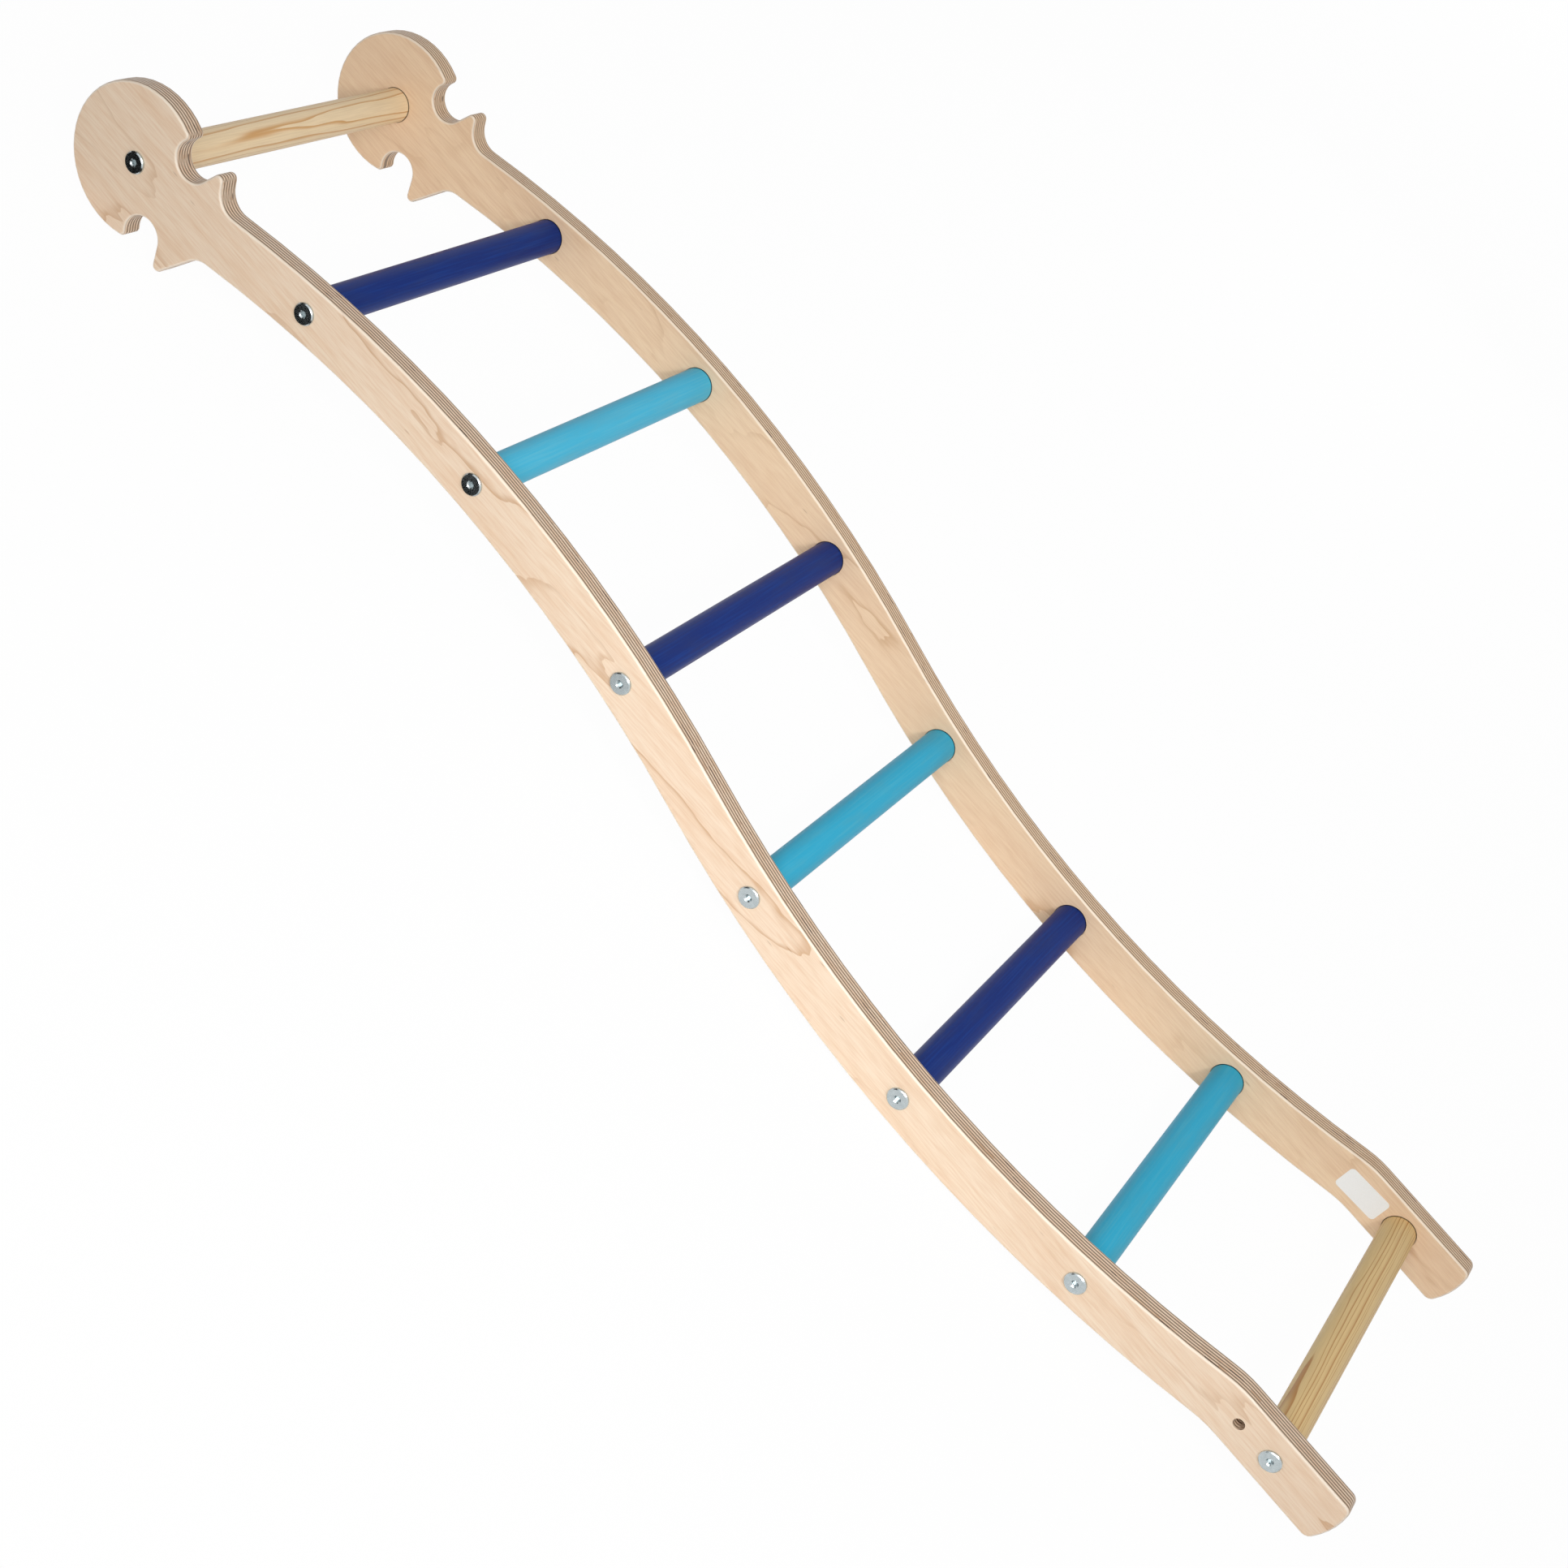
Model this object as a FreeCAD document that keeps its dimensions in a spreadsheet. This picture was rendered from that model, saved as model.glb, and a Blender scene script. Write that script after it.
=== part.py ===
import FreeCAD, Part
import math
import os
import Sketcher

# Curved climbing ladder for children, with a head that hooks over the bar of a climbing frame.
# Two mirrored plywood rails in a gentle S carry round wooden rungs, whose ends sit in shallow sockets
# and are held by flat-head connector bolts screwed into threaded inserts.
# X runs from the hooked head to the foot, Y across the ladder and Z up. The ladder lies on its two head
# discs and on the bellies of its rails, and the origin is on that floor, under the middle of its box.

Vector = FreeCAD.Vector
Placement = FreeCAD.Placement

# Driving dimensions in millimetres and degrees: name, value, meaning
DIMENSIONS = [
    ("overall_width", 330, "over the outer faces of the two rails"),
    ("ply_thickness", 18, "thickness of a rail"),
    ("rail_width", 45, "height of a rail across its curve"),
    ("edge_round", 2.5, "round-over along both edges of a rail"),
    ("arc_chord", 554.5, "chord of each of the two arcs of the S"),
    ("arc_rise", 37.25, "rise of each arc over its chord"),
    ("head_stub", 55.5, "first rung to the start of the S"),
    ("foot_stub", 49, "end of the S to the last rung"),
    ("head_radius", 58.5, "head disc, nearly centred on the first rung"),
    ("head_set", 1.4, "centre of the head disc beyond the first rung"),
    ("head_drop", 1.25, "centre of the head disc under the first rung"),
    ("head_tilt", -2.4, "turn of the head's own axis against the chord of the S"),
    ("hook_bore", 30.5, "diameter of each hook notch, a loose fit on a 28 mm bar"),
    ("hook_reach", 54.3, "first rung to the centre of a hook"),
    ("hook_angle", 48.6, "hook centre from the head's axis, seen from the first rung"),
    ("lip_radius", 4, "rounding between the head disc and a hook"),
    ("ear_set", 23.5, "hook centre to ear tip, along the head's axis"),
    ("ear_lift", 5.8, "hook centre to ear tip, away from the head's axis"),
    ("ear_tip_radius", 4.5, "rounding of an ear's tip"),
    ("ear_back_angle", 63, "slope of an ear's back against the head's axis"),
    ("ear_root_radius", 17.5, "hollow between an ear's back and the rail"),
    ("kink_radius", 85, "blend between the S and the straight foot"),
    ("foot_radius", 61.2, "round end of the foot, about the last rung"),
    ("corner_radius", 7, "rounding of the two corners of the foot"),
    ("foot_hole", 9, "diameter of the blind hole near the foot"),
    ("foot_hole_depth", 12, "depth of that hole from the outer face"),
    ("foot_hole_set", 32, "that hole to the last rung"),
    ("rung_count", 8, "rungs, evenly spaced along the S"),
    ("rung_diameter", 28, "round rung"),
    ("rung_chamfer", 1, "chamfer of a rung's ends"),
    ("socket_depth", 6, "how deep a rung end sits in a rail"),
    ("socket_clearance", 0.5, "gap round a rung end in its socket"),
    ("bolt_diameter", 6, "shank of a connector bolt"),
    ("bolt_length", 40, "bolt under its head"),
    ("bolt_clearance", 0.25, "gap round a shank in a rail"),
    ("bolt_tip_chamfer", 1, "chamfer of a shank's end"),
    ("head_diameter", 17, "flat head of a connector bolt"),
    ("head_height", 2.4, "height of that head"),
    ("head_chamfer", 0.8, "sloping rim of that head"),
    ("key_width", 4, "hexagon socket across its flats"),
    ("key_depth", 3.2, "depth of the hexagon socket"),
    ("key_lead", 6.2, "mouth of the cone that leads a key into the socket"),
    ("insert_diameter", 10, "outside of a threaded insert"),
    ("insert_length", 20, "length of a threaded insert"),
    ("insert_clearance", 0.1, "gap round an insert and round a shank in it"),
    ("tip_clearance", 2, "room past the deeper of bolt and insert in a rung"),
]

doc = FreeCAD.newDocument("climbing_ladder")
sheet = doc.addObject("Spreadsheet::Sheet", "Sizes")
for row, (alias, value, meaning) in enumerate(DIMENSIONS, start=1):
    sheet.set(f"A{row}", alias)
    sheet.set(f"B{row}", str(value))
    sheet.set(f"C{row}", meaning)
    sheet.setAlias(f"B{row}", alias)
doc.recompute()


def size(alias):
    """One driving dimension as a plain number."""
    return float(sheet.get(alias))


def number_of(expression):
    """What an expression in the driving dimensions comes to."""
    return float(sheet.evalExpression(expression))


# Expressions that several features are bound to: the S, and places across the ladder from its middle plane
ARC_RADIUS = "((Sizes.arc_chord / 2)^2 + Sizes.arc_rise^2) / (2 * Sizes.arc_rise)"
HALF_WIDTH = "Sizes.rail_width / 2"
INNER_FACE = "(Sizes.overall_width / 2 - Sizes.ply_thickness)"
RUNG_END = f"({INNER_FACE} + Sizes.socket_depth)"
BOLT_REACH = "(Sizes.bolt_length - Sizes.ply_thickness + Sizes.socket_depth)"
BORE_FLOOR = f"({RUNG_END} - max({BOLT_REACH}; Sizes.insert_length) - Sizes.tip_clearance)"


# Values worked out from the driving dimensions, on the rail's own plane: first rung at the origin,
# x along the chord of the S towards the foot and y up
half_width = number_of(HALF_WIDTH)
half_chord = size("arc_chord") / 2
arc_radius = number_of(ARC_RADIUS)
half_sweep = 2 * math.atan(size("arc_rise") / half_chord)
s_start = Vector(size("head_stub"), 0, 0)
s_middle = s_start + Vector(2 * half_chord, 0, 0)
s_end = s_middle + Vector(2 * half_chord, 0, 0)
last_rung = s_end + Vector(size("foot_stub"), 0, 0)
middle_normal = Vector(math.sin(half_sweep), math.cos(half_sweep), 0)
crest_centre = s_middle - middle_normal * arc_radius
belly_centre = s_middle + middle_normal * arc_radius
head_centre = Vector(-size("head_set"), -size("head_drop"), 0)

# Place of the first rung in the ladder's frame
ground = max(size("head_radius") - head_centre.y, size("arc_rise") + half_width)
middle_x = (last_rung.x + size("foot_radius") + head_centre.x - size("head_radius")) / 2


def curve_point(distance):
    """Point on the middle line of a rail, at a distance from the first rung along that line."""
    arc_length = 2 * arc_radius * half_sweep
    on_crest = distance - size("head_stub")
    on_belly = on_crest - arc_length
    past_end = on_belly - arc_length
    if on_crest < 0:
        return Vector(distance, 0, 0)
    if on_belly < 0:
        turn = on_crest / arc_radius - half_sweep
        return crest_centre + Vector(math.sin(turn), math.cos(turn), 0) * arc_radius
    if past_end < 0:
        turn = on_belly / arc_radius - half_sweep
        return belly_centre + Vector(math.sin(turn), -math.cos(turn), 0) * arc_radius
    return s_end + Vector(past_end, 0, 0)


def rung_points():
    """Rung axes on the rail's plane, evenly spaced along its middle line."""
    length = size("head_stub") + 4 * arc_radius * half_sweep + size("foot_stub")
    gaps = round(size("rung_count")) - 1
    return [curve_point(length * step / gaps) for step in range(gaps + 1)]


def unit(vector):
    """The same direction with length one."""
    return vector * (1 / vector.Length)


def circles_meet(centre_a, radius_a, centre_b, radius_b, towards):
    """Where two circles cross, on the side of a nearby point."""
    across = unit(centre_b - centre_a)
    gap = centre_b.distanceToPoint(centre_a)
    along = (gap**2 + radius_a**2 - radius_b**2) / (2 * gap)
    foot = centre_a + across * along
    side = Vector(-across.y, across.x, 0) * math.sqrt(radius_a**2 - along**2)
    return min(foot + side, foot - side, key=towards.distanceToPoint)


def line_meets_circle(point, direction, centre, radius, towards):
    """Where a line crosses a circle, on the side of a nearby point."""
    foot = point + direction * (centre - point).dot(direction)
    half = direction * math.sqrt(radius**2 - foot.distanceToPoint(centre)**2)
    return min(foot + half, foot - half, key=towards.distanceToPoint)


def arc(centre, start, end, hollow, radius):
    """One arc of the outline: its two ends in order, whether it is hollow, its radius as an expression."""
    return {"centre": centre, "start": start, "end": end, "hollow": hollow, "radius": radius}


def hook_arcs(side):
    """Lip, hook notch, ear tip and ear root above (side 1) or below (side -1) the head's axis."""
    tilt = math.radians(size("head_tilt"))
    axis = Vector(math.cos(tilt), math.sin(tilt), 0)
    away = Vector(-math.sin(tilt), math.cos(tilt), 0) * side
    disc, notch = size("head_radius"), size("hook_bore") / 2
    lip, tip, root = size("lip_radius"), size("ear_tip_radius"), size("ear_root_radius")
    angle = math.radians(size("hook_angle"))
    hook_centre = (axis * math.cos(angle) + away * math.sin(angle)) * size("hook_reach")
    tip_centre = hook_centre + axis * size("ear_set") + away * size("ear_lift")

    lip_side = hook_centre + (away - axis) * notch
    lip_centre = circles_meet(head_centre, disc - lip, hook_centre, notch + lip, lip_side)
    lip_on_disc = head_centre + unit(lip_centre - head_centre) * disc
    lip_on_notch = hook_centre + unit(lip_centre - hook_centre) * notch

    # The ear's front is the straight line that touches the notch on one side and the tip on the other
    reach = tip_centre - hook_centre
    lean = math.acos((notch + tip) / reach.Length)
    turned = FreeCAD.Rotation(Vector(0, 0, 1), -side * math.degrees(lean))
    front_normal = turned.multVec(unit(reach))
    front_on_notch = hook_centre + front_normal * notch
    front_on_tip = tip_centre - front_normal * tip

    back = math.radians(size("ear_back_angle"))
    back_normal = axis * math.sin(back) + away * math.cos(back)
    back_run = axis * math.cos(back) - away * math.sin(back)
    back_on_tip = tip_centre + back_normal * tip
    edge_radius = arc_radius + side * half_width
    root_centre = line_meets_circle(back_on_tip + back_normal * root, back_run, crest_centre,
                                    edge_radius + side * root, tip_centre)
    root_on_back = root_centre - back_normal * root
    root_on_edge = crest_centre + unit(root_centre - crest_centre) * edge_radius

    return [
        arc(lip_centre, lip_on_disc, lip_on_notch, False, "Sizes.lip_radius"),
        arc(hook_centre, lip_on_notch, front_on_notch, True, "Sizes.hook_bore / 2"),
        arc(tip_centre, front_on_tip, back_on_tip, False, "Sizes.ear_tip_radius"),
        arc(root_centre, root_on_back, root_on_edge, True, "Sizes.ear_root_radius"),
    ]


def foot_arcs(side):
    """Blend into the straight foot and corner of the foot, on its upper (1) or lower (-1) edge."""
    up = Vector(0, 1, 0)
    along = Vector(1, 0, 0)
    kink, corner = size("kink_radius"), size("corner_radius")
    edge_radius = arc_radius - side * half_width
    kink_centre = line_meets_circle(up * (side * half_width - kink), along, belly_centre,
                                    edge_radius + kink, s_end)
    kink_on_s = belly_centre + unit(kink_centre - belly_centre) * edge_radius
    corner_side = last_rung + along * size("foot_radius")
    corner_centre = line_meets_circle(up * side * (half_width - corner), along, last_rung,
                                      size("foot_radius") - corner, corner_side)
    corner_on_end = last_rung + unit(corner_centre - last_rung) * size("foot_radius")
    return [
        arc(kink_centre, kink_on_s, kink_centre + up * kink, side < 0, "Sizes.kink_radius"),
        arc(corner_centre, corner_centre + up * side * corner, corner_on_end, False, "Sizes.corner_radius"),
    ]


def side_arcs(side):
    """All arcs of one long edge, from the head disc to the end of the foot."""
    hook = hook_arcs(side)
    foot = foot_arcs(side)
    turn = s_middle + middle_normal * side * half_width
    crest = arc(crest_centre, hook[-1]["end"], turn, side < 0, f"{ARC_RADIUS} + {side} * {HALF_WIDTH}")
    belly = arc(belly_centre, turn, foot[0]["start"], side > 0, f"{ARC_RADIUS} - {side} * {HALF_WIDTH}")
    return hook + [crest, belly] + foot


def turned_round(arcs):
    """The same arcs, walked the other way."""
    return [dict(one, start=one["end"], end=one["start"]) for one in reversed(arcs)]


def rail_outline():
    """Arcs of the whole rail, clockwise from the upper lip. Straight lines join those that lie apart."""
    upper = side_arcs(1)
    lower = turned_round(side_arcs(-1))
    foot_end = arc(last_rung, upper[-1]["end"], lower[0]["start"], False, "Sizes.foot_radius")
    head_disc = arc(head_centre, lower[-1]["end"], upper[0]["start"], False, "Sizes.head_radius")
    return upper + [foot_end] + lower + [head_disc]


def draw_arc(sketch, one):
    """Add an arc with its bound radius; returns its number and the numbers of its first and last end."""
    first, last = (one["start"], one["end"]) if one["hollow"] else (one["end"], one["start"])
    radius = first.distanceToPoint(one["centre"])
    angles = [math.atan2(p.y - one["centre"].y, p.x - one["centre"].x) for p in (first, last)]
    circle = Part.Circle(one["centre"], Vector(0, 0, 1), radius)
    number = sketch.addGeometry(Part.ArcOfCircle(circle, *angles))
    bound = sketch.addConstraint(Sketcher.Constraint("Radius", number, radius))
    sketch.setExpression(f"Constraints[{bound}]", one["radius"])
    return (number, 1, 2) if one["hollow"] else (number, 2, 1)


def draw_outline(sketch, arcs):
    """Draw a closed tangent chain of arcs, with a line wherever one ends away from the next."""
    tiny = 1e-6
    chain = []
    for one, following in zip(arcs, arcs[1:] + arcs[:1]):
        chain.append(draw_arc(sketch, one))
        if one["end"].distanceToPoint(following["start"]) > tiny:
            chain.append((sketch.addGeometry(Part.LineSegment(one["end"], following["start"])), 1, 2))
    for (number, _, last), (next_number, first, _) in zip(chain, chain[1:] + chain[:1]):
        sketch.addConstraint(Sketcher.Constraint("Tangent", number, last, next_number, first))


def draw_profile(sketch, corners):
    """Draw a closed polygon. Each corner is a pair of expressions, bound as its distances from the origin."""
    places = [Vector(number_of(across), number_of(along), 0) for across, along in corners]
    lines = [sketch.addGeometry(Part.LineSegment(start, end))
             for start, end in zip(places, places[1:] + places[:1])]
    for line, following in zip(lines, lines[1:] + lines[:1]):
        sketch.addConstraint(Sketcher.Constraint("Coincident", line, 2, following, 1))
    for line, place, (across, along) in zip(lines, places, corners):
        for kind, distance, expression in (("DistanceX", place.x, across), ("DistanceY", place.y, along)):
            bound = sketch.addConstraint(Sketcher.Constraint(kind, -1, 1, line, 1, distance))
            sketch.setExpression(f"Constraints[{bound}]", expression)


def draw_circles(sketch, centres, radius, expression):
    """Draw equal circles, the first bound to a size and the rest equal to it."""
    numbers = [sketch.addGeometry(Part.Circle(centre, Vector(0, 0, 1), radius)) for centre in centres]
    bound = sketch.addConstraint(Sketcher.Constraint("Radius", numbers[0], radius))
    sketch.setExpression(f"Constraints[{bound}]", expression)
    for number in numbers[1:]:
        sketch.addConstraint(Sketcher.Constraint("Equal", numbers[0], number))


def new_sketch(body, name, role):
    """An empty sketch on one of a body's own origin planes."""
    sketch = body.newObject("Sketcher::SketchObject", name)
    plane = next(one for one in body.Origin.OriginFeatures if one.Role == role)
    sketch.AttachmentSupport = [(plane, "")]
    sketch.MapMode = "FlatFace"
    return sketch


def add_pocket(body, sketch, name, inwards):
    """A pocket from a sketch, turned round where the solid lies on the sketch's own side."""
    pocket = body.newObject("PartDesign::Pocket", name)
    pocket.Profile = sketch
    pocket.Reversed = inwards
    return pocket


def add_revolution(body, sketch, name):
    """A full turn of a half profile about the Y axis."""
    turned = body.newObject("PartDesign::Revolution", name)
    turned.Profile = sketch
    turned.ReferenceAxis = (sketch, ["V_Axis"])
    turned.Angle = 360
    return turned


def make_left_rail():
    """Plywood rail on the -Y side: padded outline, rounded edges, rung sockets, bolt holes and foot hole."""
    body = doc.addObject("PartDesign::Body", "left_rail")
    body.Placement = Placement(Vector(-middle_x, 0, ground), FreeCAD.Rotation())
    body.setExpression("Placement.Base.y", f"-{INNER_FACE}")

    outline = new_sketch(body, "rail_outline", "XZ_Plane")
    draw_outline(outline, rail_outline())
    plank = body.newObject("PartDesign::Pad", "rail_plank")
    plank.Profile = outline
    plank.setExpression("Length", "Sizes.ply_thickness")
    doc.recompute()

    faces = [f"Face{number}" for number, face in enumerate(plank.Shape.Faces, start=1)
             if face.BoundBox.YLength < size("edge_round")]
    rounded = body.newObject("PartDesign::Fillet", "rail_edges")
    rounded.Base = (plank, faces)
    rounded.setExpression("Radius", "Sizes.edge_round")
    doc.recompute()

    sockets = new_sketch(body, "socket_circles", "XZ_Plane")
    draw_circles(sockets, rung_points(), size("rung_diameter") / 2 + size("socket_clearance"),
                 "Sizes.rung_diameter / 2 + Sizes.socket_clearance")
    socket_cut = add_pocket(body, sockets, "rung_sockets", True)
    socket_cut.setExpression("Length", "Sizes.socket_depth")

    holes = new_sketch(body, "bolt_circles", "XZ_Plane")
    draw_circles(holes, rung_points(), size("bolt_diameter") / 2 + size("bolt_clearance"),
                 "Sizes.bolt_diameter / 2 + Sizes.bolt_clearance")
    hole_cut = add_pocket(body, holes, "bolt_holes", True)
    hole_cut.setExpression("Length", "Sizes.ply_thickness")

    foot = new_sketch(body, "foot_circle", "XZ_Plane")
    foot.setExpression("AttachmentOffset.Base.z", "Sizes.ply_thickness")
    foot_centre = last_rung - Vector(size("foot_hole_set"), 0, 0)
    draw_circles(foot, [foot_centre], size("foot_hole") / 2, "Sizes.foot_hole / 2")
    foot_cut = add_pocket(body, foot, "foot_hole", False)
    foot_cut.setExpression("Length", "Sizes.foot_hole_depth")
    return body


def make_rung(number, place):
    """Round rung along Y, with chamfered ends and a blind bore for an insert in each."""
    body = doc.addObject("PartDesign::Body", f"rung_{number}")
    radius = "Sizes.rung_diameter / 2"
    rim = f"({radius} - Sizes.rung_chamfer)"
    shoulder = f"({RUNG_END} - Sizes.rung_chamfer)"
    bore = "(Sizes.insert_diameter / 2 + Sizes.insert_clearance)"
    half = [("0", BORE_FLOOR), (bore, BORE_FLOOR), (bore, RUNG_END), (rim, RUNG_END), (radius, shoulder)]
    other_half = [(across, f"-{along}") for across, along in reversed(half)]
    profile = new_sketch(body, f"rung_{number}_profile", "XY_Plane")
    draw_profile(profile, half + other_half)
    add_revolution(body, profile, f"rung_{number}_turned")
    body.Placement = Placement(place, FreeCAD.Rotation())
    return body


def make_bolt(number, place):
    """Connector bolt of the left rail, its head seated on the rail's outer face, its shank along Y."""
    body = doc.addObject("PartDesign::Body", f"rung_{number}_left_bolt")
    head, shank, end = "Sizes.head_diameter / 2", "Sizes.bolt_diameter / 2", "Sizes.bolt_length"
    profile = new_sketch(body, f"bolt_{number}_profile", "XY_Plane")
    draw_profile(profile, [
        ("0", "Sizes.key_lead / 2 - Sizes.head_height"),
        ("Sizes.key_lead / 2", "-Sizes.head_height"),
        (f"{head} - Sizes.head_chamfer", "-Sizes.head_height"),
        (head, "Sizes.head_chamfer - Sizes.head_height"),
        (head, "0"),
        (shank, "0"),
        (shank, f"{end} - Sizes.bolt_tip_chamfer"),
        (f"{shank} - Sizes.bolt_tip_chamfer", end),
        ("0", end),
    ])
    add_revolution(body, profile, f"bolt_{number}_turned")

    key = new_sketch(body, f"bolt_{number}_key", "XZ_Plane")
    key.setExpression("AttachmentOffset.Base.z", "Sizes.head_height")
    corner = "Sizes.key_width / sqrt(3)"
    draw_profile(key, [(f"{corner} * cos({turn} deg)", f"{corner} * sin({turn} deg)")
                       for turn in range(0, 360, 60)])
    key_cut = add_pocket(body, key, f"bolt_{number}_socket", False)
    key_cut.setExpression("Length", "Sizes.key_depth")
    body.Placement = Placement(place, FreeCAD.Rotation())
    body.setExpression("Placement.Base.y", "-Sizes.overall_width / 2")
    return body


def make_insert(number, place):
    """Threaded insert of a rung's left end, flush with the end face. Its thread is left plain."""
    body = doc.addObject("PartDesign::Body", f"rung_{number}_left_insert")
    outside = "Sizes.insert_diameter / 2"
    inside = "(Sizes.bolt_diameter / 2 + Sizes.insert_clearance)"
    length = "Sizes.insert_length"
    profile = new_sketch(body, f"insert_{number}_profile", "XY_Plane")
    draw_profile(profile, [(inside, "0"), (outside, "0"), (outside, length), (inside, length)])
    add_revolution(body, profile, f"insert_{number}_turned")
    body.Placement = Placement(place, FreeCAD.Rotation())
    body.setExpression("Placement.Base.y", f"-{RUNG_END}")
    return body


def mirrored(source, name):
    """The same piece on the other side of the ladder's middle plane."""
    other = doc.addObject("Part::Mirroring", name)
    other.Source = source
    other.Base = Vector(0, 0, 0)
    other.Normal = Vector(0, 1, 0)
    return other


def make_pair(left, label):
    """One group of two separate solids: a piece and its mirror image."""
    pair = doc.addObject("Part::Compound", label)
    pair.Links = [left, mirrored(left, left.Name.replace("left", "right"))]
    return pair


left_rail = make_left_rail()
nodes = {"left_rail": left_rail, "right_rail": mirrored(left_rail, "right_rail")}
for number, point in enumerate(rung_points(), start=1):
    place = Vector(point.x - middle_x, 0, point.y + ground)
    nodes[f"rung_{number}"] = make_rung(number, place)
    nodes[f"rung_{number}_bolts"] = make_pair(make_bolt(number, place), f"rung_{number}_bolts")
    nodes[f"rung_{number}_inserts"] = make_pair(make_insert(number, place), f"rung_{number}_inserts")
for label, node in nodes.items():
    node.Label = label
doc.recompute()

# Nothing is written unless every object of the document is sound
for item in doc.Objects:
    if "Invalid" in item.State or "Error" in item.State:
        raise RuntimeError(f"{item.Name} failed: {item.State}")
for label, node in nodes.items():
    if node.Shape.isNull() or not node.Shape.isValid():
        raise RuntimeError(f"{label} has no valid shape")

os.makedirs("parts", exist_ok=True)
for label, node in nodes.items():
    node.Shape.exportStep(f"parts/{label}.step")
    box = node.Shape.optimalBoundingBox()
    spans = [(box.XMin, box.XMax), (box.YMin, box.YMax), (box.ZMin, box.ZMax)]
    reach = ", ".join(f"{axis} {low:.2f} {high:.2f}" for axis, (low, high) in zip("xyz", spans))
    print(f"{label}: {len(node.Shape.Solids)} solids, {node.Shape.Volume:.0f} mm3, {reach}")
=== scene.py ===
"""Looks of a curved climbing ladder with a hooked head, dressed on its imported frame.

All lengths are metres in the frame's own axes: X from the hooked head to the foot, Y across the ladder, Z up.
"""

import bpy
import numpy as np
from mathutils import Matrix, Vector


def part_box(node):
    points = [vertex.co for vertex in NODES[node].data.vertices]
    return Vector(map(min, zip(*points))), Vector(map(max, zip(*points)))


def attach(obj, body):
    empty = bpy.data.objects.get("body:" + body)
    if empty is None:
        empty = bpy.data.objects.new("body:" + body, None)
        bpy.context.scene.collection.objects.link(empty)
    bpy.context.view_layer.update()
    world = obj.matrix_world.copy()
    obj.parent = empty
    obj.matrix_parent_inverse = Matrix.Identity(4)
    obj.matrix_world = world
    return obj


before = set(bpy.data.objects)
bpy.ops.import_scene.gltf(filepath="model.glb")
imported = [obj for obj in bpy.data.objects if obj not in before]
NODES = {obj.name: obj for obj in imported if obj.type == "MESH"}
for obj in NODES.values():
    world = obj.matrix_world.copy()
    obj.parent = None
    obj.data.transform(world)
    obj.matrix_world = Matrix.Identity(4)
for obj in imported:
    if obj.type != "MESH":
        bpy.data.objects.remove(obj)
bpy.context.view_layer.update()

MM = 0.001
SCENE = bpy.context.scene

# Sizes of the ladder that the finishes and the studio follow
INNER_FACE = 147 * MM
PLY_SHEET = 18 * MM
PLIES = 13
LADDER_MIDDLE = Vector((0, 0, 60 * MM))


def linear(hex_colour):
    """An sRGB hex colour as linear RGBA: v/12.92 below 0.04045, ((v + 0.055)/1.055)^2.4 above it."""
    srgb = np.array([int(hex_colour[at:at + 2], 16) for at in (1, 3, 5)]) / 255
    rgb = np.where(srgb <= 0.04045, srgb / 12.92, ((srgb + 0.055) / 1.055) ** 2.4)
    return (*rgb.tolist(), 1.0)


def veneer_scale(along, across, step):
    """Scale of a veneer pattern from its sizes in mm along and across the grain; step sets the plies apart."""
    return 1 / (along * MM), step, 1 / (across * MM)


def dowel_scale(along, across):
    """Scale of a dowel pattern from its sizes in mm along the dowel, which lies on Y, and across it."""
    return 1 / (across * MM), 1 / (along * MM), 1 / (across * MM)


def add(tree, kind, inputs=None, **settings):
    """Adds a node with its settings, sets or links its inputs by number or name, and gives its first output."""
    node = tree.nodes.new(kind)
    for name, value in settings.items():
        setattr(node, name, value)
    for key, value in (inputs or {}).items():
        shown = [one for one in node.inputs if one.enabled and one.name == key]
        socket = shown[0] if shown else node.inputs[key]
        if isinstance(value, bpy.types.NodeSocket):
            tree.links.new(value, socket)
        else:
            socket.default_value = value
    return next((one for one in node.outputs if one.enabled), None)


def new_finish(name):
    """An empty node material; gives it with its node tree."""
    finish = bpy.data.materials.new(name)
    finish.use_nodes = True
    finish.node_tree.nodes.clear()
    return finish, finish.node_tree


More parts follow.
